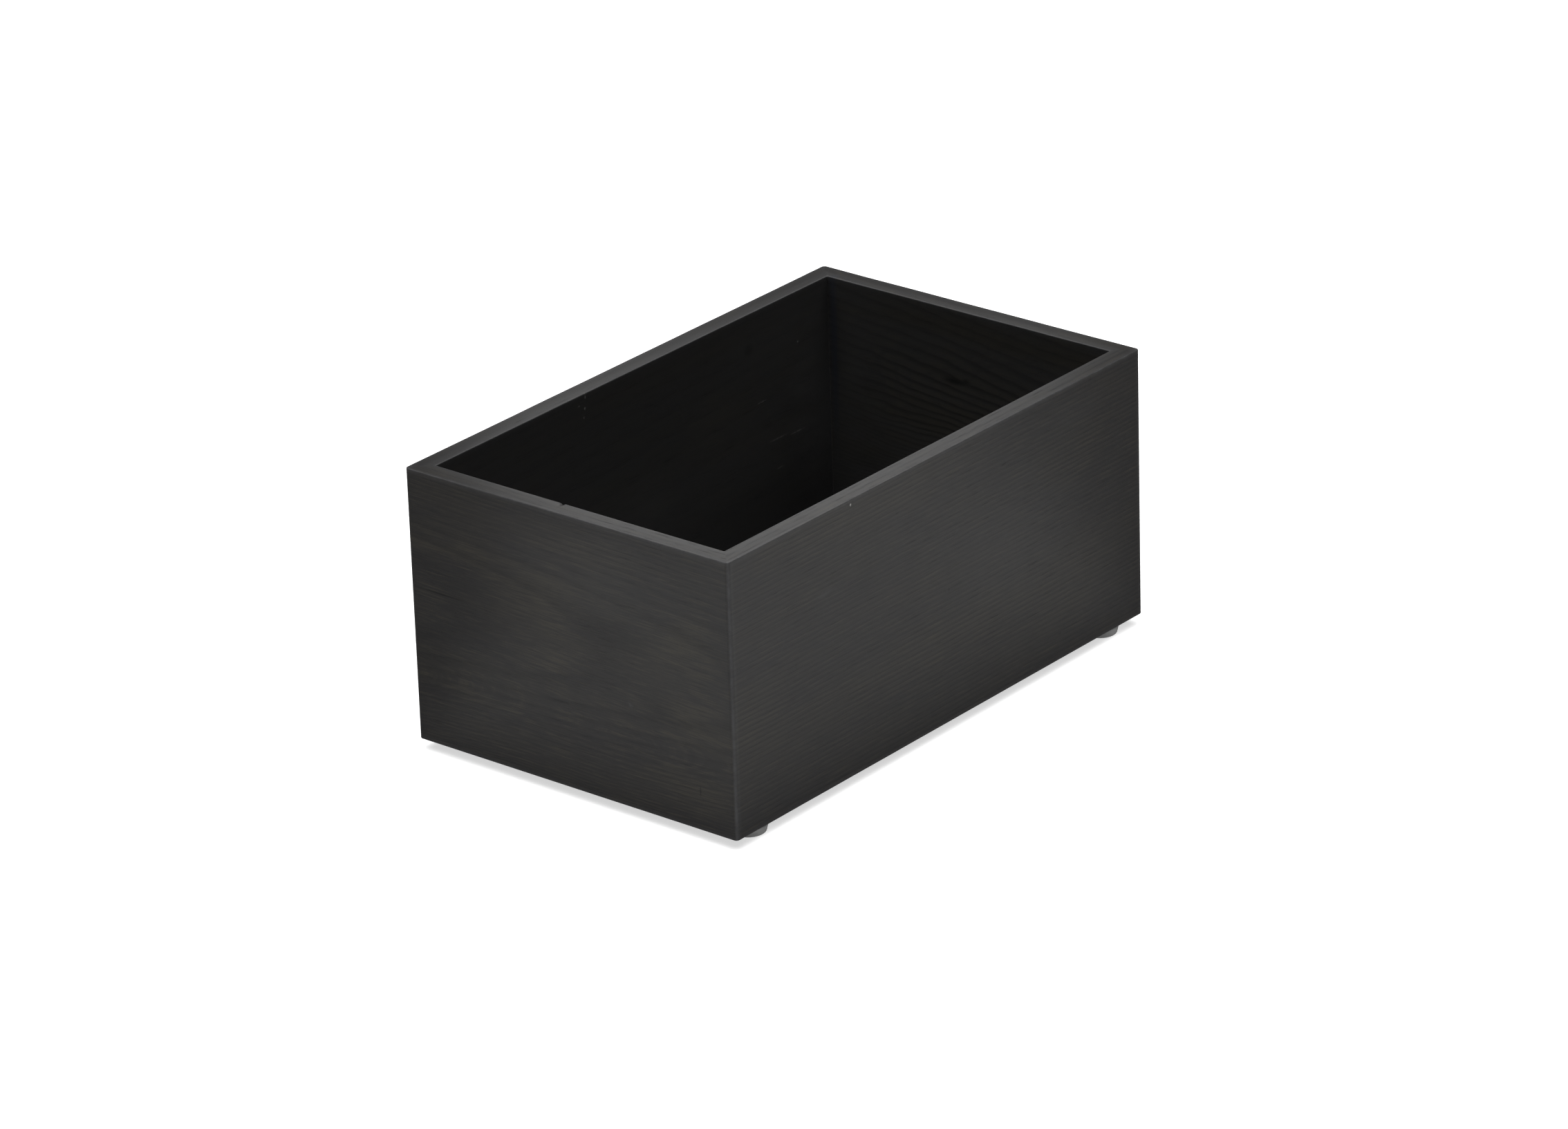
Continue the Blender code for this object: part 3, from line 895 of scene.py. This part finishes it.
def spline_sizes(settings):
    """Where a spline lies in its mitre, from the front left one in the frame."""
    low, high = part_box("spline_front_left")
    corner_x = CAD_BOUNDS[0].x
    span = (high.x - low.x) * math.sqrt(2)
    return {
        "depth": (low.x + high.x) / 2 - corner_x,
        "thickness": SPLINE_THICKNESS + 2 * settings.clearance,
        "width": span - SPLINE_THICKNESS + 2 * settings.clearance,
        "low": low.z - settings.clearance,
        "high": high.z + settings.clearance,
    }


class OAKBOX_OT_boards(bpy.types.Operator):
    """Makes the four mitred boards, each with its own figure in the wood"""
    bl_idname = "oak_box.boards"
    bl_label = "Boards"

    def execute(self, context):
        settings = context.scene.oak_box_boards
        sizes = box_sizes()
        sizes["lip"] -= settings.panel_gap
        sizes["rebate"] += settings.panel_gap
        spline = spline_sizes(context.scene.oak_box_splines)
        for number, (board, turns) in enumerate(BOARDS.items()):
            is_long = board in ("front", "back")
            run, other = sizes["length"], sizes["width"]
            if not is_long:
                run, other = other, run
            notch = NOTCH_PLACE if board == "left" else None
            corner_rubbing_and_highlight = settings.rubbing_and_highlight_long if is_long else settings.rubbing_and_highlight_short
            seed = FIRST_SEED + SEED_STEP * number
            points, arris = board_surface(sizes, run, settings, seed, notch, corner_rubbing_and_highlight)
            rows, columns = points.shape[:2]
            faces = quads(rows, columns, closed_rows=True).tolist()
            every = points.reshape(-1, 3)
            for column in (0, columns - 1):
                pocket, cap = mitre_cap(points, column, spline, len(every))
                every = np.concatenate([every, pocket])
                faces += cap
            arris = np.concatenate([arris.reshape(-1), np.zeros(len(every) - arris.size)])
            every = every - np.array([0, other / 2, 0])
            angle = math.radians(90 * turns)
            spin = np.array([[math.cos(angle), -math.sin(angle), 0],
                             [math.sin(angle), math.cos(angle), 0], [0, 0, 1]])
            material = oak_material(board, settings, other)
            piece = add_piece(f"oak_{board}_board", every @ spin.T, faces, material)
            set_attribute(piece, "arris", arris)
            finish_piece(piece, "stained_oak", f"{board}_board")
        return {"FINISHED"}


class OAKBOX_OT_panel(bpy.types.Operator):
    """Makes the bottom panel that lies in the boards' rebate"""
    bl_idname = "oak_box.panel"
    bl_label = "Bottom panel"

    def execute(self, context):
        settings = context.scene.oak_box_panel
        low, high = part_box("bottom_panel")
        points = plate_surface(high.x, high.y, low.z, high.z, settings.ease)
        rows, columns = points.shape[:2]
        faces = quads(rows, columns, closed_rows=True).tolist()
        faces.append([row * columns for row in range(rows)])
        faces.append([row * columns + columns - 1 for row in range(rows)])
        piece = add_piece("oak_bottom_panel", points.reshape(-1, 3), faces, panel_material(settings))
        finish_piece(piece, "stained_panel", "bottom_panel")
        return {"FINISHED"}


class OAKBOX_OT_splines(bpy.types.Operator):
    """Gives the splines inside the mitres their bare oak"""
    bl_idname = "oak_box.splines"
    bl_label = "Splines"

    def execute(self, context):
        material = spline_material(context.scene.oak_box_splines)
        for corner in CORNERS:
            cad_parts[f"spline_{corner}"].material_slots[0].material = material
        return {"FINISHED"}


class OAKBOX_OT_feet(bpy.types.Operator):
    """Makes the four turned rubber feet, each with a dished sole and an adhesive pad"""
    bl_idname = "oak_box.feet"
    bl_label = "Feet"

    def execute(self, context):
        settings = context.scene.oak_box_feet
        material = foot_material(settings)
        for corner in CORNERS:
            low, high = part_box(f"foot_{corner}")
            centre = ((low.x + high.x) / 2, (low.y + high.y) / 2)
            radius, top, edge = (high.x - low.x) / 2, high.z, settings.edge
            dish = np.array(FOOT_DISH) * (radius, settings.recess)
            rounding = arc((radius - SOLE_INSET - edge, edge), edge, -90, -5, 5)
            flank = np.array([(radius - inset, share * top) for inset, share in FOOT_FLANK])
            pad_radius, pad_top = flank[-1][0], top + settings.pad
            profile = np.concatenate([dish, rounding, flank, [(pad_radius, pad_top), (0, pad_top)]])
            points, faces = turned_surface(profile, centre, FOOT_STEPS)
            piece = add_piece(f"rubber_foot_{corner}", points, faces, material, sharp=50)
            finish_piece(piece, "foot_rubber", f"foot_{corner}")
        return {"FINISHED"}


class OAKBOX_OT_stage(bpy.types.Operator):
    """Sets up the floor, the soft light and the camera"""
    bl_idname = "oak_box.stage"
    bl_label = "Stage"

    def add_light(self, context, name, place, aim, width, height, power):
        """Adds a rectangular soft light at a place, turned towards a point."""
        light = bpy.data.lights.new(name, "AREA")
        light.shape = "RECTANGLE"
        light.size, light.size_y, light.energy = width, height, power
        lamp = bpy.data.objects.new(name, light)
        turn = (Vector(aim) - Vector(place)).to_track_quat("-Z", "Y").to_matrix().to_4x4()
        lamp.matrix_world = Matrix.Translation(Vector(place)) @ turn
        lamp.visible_camera = False
        context.scene.collection.objects.link(lamp)

    def add_painted_shade_sheet(self, context, settings):
        """Lays a dark sheet on the floor that only shows in the gloss, as painted shade in the box's
        reflections.

        It lies beyond a line that leaves the front right corner and another that leaves the
        back left one, as they turn from +X, with a soft edge that widens with the distance
        from the corner: painted shade for the floor behind the box. A band round the box, painted
        shade for the floor close round its base, falls off as exp(-distance / reach).
        """
        near = np.arange(-FLAG_NEAR, FLAG_NEAR + 0.0001, 0.01)
        far = np.geomspace(FLAG_NEAR + 0.02, FLAG_FAR, 14)
        line = np.concatenate([-far[::-1], near, far])
        x, y = np.meshgrid(line, line, indexing="ij")
        high = CAD_BOUNDS[1]
        covers = []
        for side, turn in ((1, settings.right_turn), (-1, settings.left_turn)):
            from_x, from_y = x - side * high.x, y + side * high.y
            out_x, out_y = math.cos(turn), math.sin(turn)
            beyond = side * (from_y * out_x - from_x * out_y)
            run_out = np.clip(from_x * out_x + from_y * out_y, 0, None)
            edge = settings.flag_edge + FLAG_WIDENING * run_out
            share = np.clip(0.5 + beyond / edge, 0, 1)
            covers.append(share * share * (3 - 2 * share))
        right_side = high.y * x > high.x * y
        clear = 1 - settings.flag_cover * np.where(right_side, covers[0], covers[1])
        # Along the front the sheet takes a further share, more painted shade in the front board's
        # gloss.
        clear = clear * (1 - settings.front_cover * np.clip(-(y + high.y) / FRONT_FADE, 0, 1))
        distance = np.hypot(np.maximum(np.abs(x) - high.x, 0), np.maximum(np.abs(y) - high.y, 0))
        clear = clear * (1 - settings.band_cover * np.exp(-distance / settings.band_reach))
        material, graph, shader = new_material("painted shade sheet", (0.0, 0.0, 0.0), 1.0, sheen=0.0)
        cover = graph.node("ShaderNodeAttribute", attribute_name="cover").outputs["Fac"]
        graph.join(cover, shader.inputs["Alpha"])
        points = np.stack([x, y, np.full_like(x, FLAG_HEIGHT)], -1)
        flag = add_piece("gloss_painted_shade", points.reshape(-1, 3), quads(*x.shape), material)
        set_attribute(flag, "cover", 1 - clear.reshape(-1))
        flag.visible_camera = flag.visible_diffuse = flag.visible_shadow = False

    def execute(self, context):
        settings = context.scene.oak_box_stage
        scene = context.scene
        material, _, shader = new_material("pale floor", tuple(settings.floor), 0.9, sheen=0.0)
        shader.inputs["Emission Color"].default_value = (1, 1, 1, 1)
        shader.inputs["Emission Strength"].default_value = settings.floor_glow
        corners = FLOOR_REACH * np.array([(-1, -1, 0), (1, -1, 0), (1, 1, 0), (-1, 1, 0)])
        floor = add_piece("floor", corners, [(0, 1, 2, 3)], material)

        world = bpy.data.worlds.new("white surround")
        world.use_nodes = True
        world.node_tree.nodes.clear()
        sky = Graph(world.node_tree)
        up = sky.split(sky.node("ShaderNodeTexCoord").outputs["Generated"])[2]
        bright = sky.ramp(up, 0.55, 1.0, settings.surround, settings.overhead)
        seen = sky.node("ShaderNodeLightPath").outputs["Is Camera Ray"]
        background = sky.node("ShaderNodeBackground", {
            "Color": (1, 1, 1, 1), "Strength": sky.math("MAXIMUM", bright, seen)})
        sky.node("ShaderNodeOutputWorld", {"Surface": background.outputs[0]})
        scene.world = world
        scene.view_settings.view_transform = "Standard"

        # A pale card behind, and a dark sheet on the floor that only shows in the gloss, painting
        # shade into the box's reflections.
        self.add_light(context, "back_card", settings.card_place, settings.card_aim,
                       settings.card_width, settings.card_height, settings.card_power)
        self.add_painted_shade_sheet(context, settings)

        back = Vector((math.sin(settings.azimuth) * math.cos(settings.elevation),
                       -math.cos(settings.azimuth) * math.cos(settings.elevation),
                       math.sin(settings.elevation)))
        camera = bpy.data.objects.new("camera", bpy.data.cameras.new("camera"))
        camera.data.lens = settings.lens
        camera.data.clip_end = 100.0
        turn = (-back).to_track_quat("-Z", "Y") @ Quaternion((0, 0, 1), settings.roll)
        camera.matrix_world = Matrix.Translation(
            Vector(settings.aim) + settings.distance * back) @ turn.to_matrix().to_4x4()
        scene.collection.objects.link(camera)
        scene.camera = camera
        return {"FINISHED"}


class OAKBOX_PT_panel(bpy.types.Panel):
    """Lists the box's pieces and their settings"""
    bl_idname = "OAKBOX_PT_panel"
    bl_label = "Oak Box"
    bl_space_type = "VIEW_3D"
    bl_region_type = "UI"
    bl_category = "Oak Box"

    def draw(self, context):
        for operator, settings in STEPS:
            box = self.layout.box()
            box.operator(operator.bl_idname)
            group = getattr(context.scene, settings)
            for name in group.bl_rna.properties.keys():
                if name not in ("rna_type", "name"):
                    box.prop(group, name)


STEPS = (
    (OAKBOX_OT_boards, "oak_box_boards"),
    (OAKBOX_OT_panel, "oak_box_panel"),
    (OAKBOX_OT_splines, "oak_box_splines"),
    (OAKBOX_OT_feet, "oak_box_feet"),
    (OAKBOX_OT_stage, "oak_box_stage"),
)
SETTINGS = {
    "oak_box_boards": OAKBOX_BoardSettings,
    "oak_box_panel": OAKBOX_PanelSettings,
    "oak_box_splines": OAKBOX_SplineSettings,
    "oak_box_feet": OAKBOX_FootSettings,
    "oak_box_stage": OAKBOX_StageSettings,
}


def register():
    for name, group in SETTINGS.items():
        bpy.utils.register_class(group)
        setattr(bpy.types.Scene, name, PointerProperty(type=group))
    for operator, _ in STEPS:
        bpy.utils.register_class(operator)
    bpy.utils.register_class(OAKBOX_PT_panel)


def unregister():
    bpy.utils.unregister_class(OAKBOX_PT_panel)
    for operator, _ in reversed(STEPS):
        bpy.utils.unregister_class(operator)
    for name, group in reversed(SETTINGS.items()):
        delattr(bpy.types.Scene, name)
        bpy.utils.unregister_class(group)


def main():
    register()
    make_shared_groups()
    bpy.ops.oak_box.boards()
    bpy.ops.oak_box.panel()
    bpy.ops.oak_box.splines()
    bpy.ops.oak_box.feet()
    bpy.ops.oak_box.stage()


if __name__ == "__main__":
    main()
